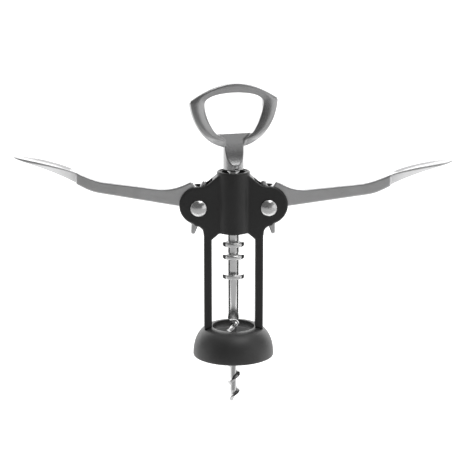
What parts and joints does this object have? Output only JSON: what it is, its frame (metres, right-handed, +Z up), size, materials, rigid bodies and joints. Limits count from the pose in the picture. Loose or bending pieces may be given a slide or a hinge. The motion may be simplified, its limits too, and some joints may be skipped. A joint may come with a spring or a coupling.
{
  "type": "lever corkscrew",
  "caption": "Lever corkscrew: geared arms lift a ringed shaft and worm through a slotted frame on a bottle collar, with a crown-cap opener handle.",
  "frame": {"origin": "centre of the collar's lower rim, on the shaft's axis", "axes": "+Z up the shaft towards the handle, +X along the spread arms, camera side is -Y, left arm on -X"},
  "size_m": [0.2178, 0.0408, 0.1646],
  "materials": {
    "frame_black": "black glass-filled nylon, fine satin",
    "collar_black": "black satin with a soft sheen",
    "satin_metal": "satin-plated zinc casting",
    "polished_steel": "polished",
    "plated_shaft": "bright nickel plate",
    "worm_steel": "bright nickel plate, lightly drawn",
    "bush_nylon": "black nylon"
  },
  "bodies": {
    "frame": {"frame": "frame_black", "bell": "collar_black", "rivet_left": "polished_steel", "rivet_right": "polished_steel", "rivet_washer_left": "polished_steel", "rivet_washer_right": "polished_steel"},
    "lever_left": {"lever_left": "satin_metal"},
    "lever_right": {"lever_right": "satin_metal"},
    "guide_bush": {"guide_bush": "bush_nylon"},
    "screw": {"opener_handle": "satin_metal", "cross_pin": "polished_steel", "rack_shaft": "plated_shaft", "stop_collar": "plated_shaft", "worm": "worm_steel"}
  },
  "joints": [
    {"name": "lever_left_pivot", "type": "hinge", "parent": "frame", "child": "lever_left", "pos_m": [-0.0174, 0, 0.0768], "axis": [0, 1, 0], "range_deg": [-95, 55]},
    {"name": "lever_right_pivot", "type": "hinge", "parent": "frame", "child": "lever_right", "pos_m": [0.0174, 0, 0.0768], "axis": [0, -1, 0], "range_deg": [-95, 55]},
    {"name": "handle_spin", "type": "hinge", "parent": "frame", "child": "guide_bush", "pos_m": [0, 0, 0.0768], "axis": [0, 0, 1], "continuous": true},
    {"name": "shaft_lift", "type": "slide", "parent": "guide_bush", "child": "screw", "axis": [0, 0, 1], "range_m": [-0.0118, 0.0203]}
  ],
  "couplings": [
    {"joint": "lever_right_pivot", "follows": "lever_left_pivot", "ratio": 1},
    {"joint": "shaft_lift", "follows": "lever_left_pivot", "m_per_rad": -0.0122}
  ]
}
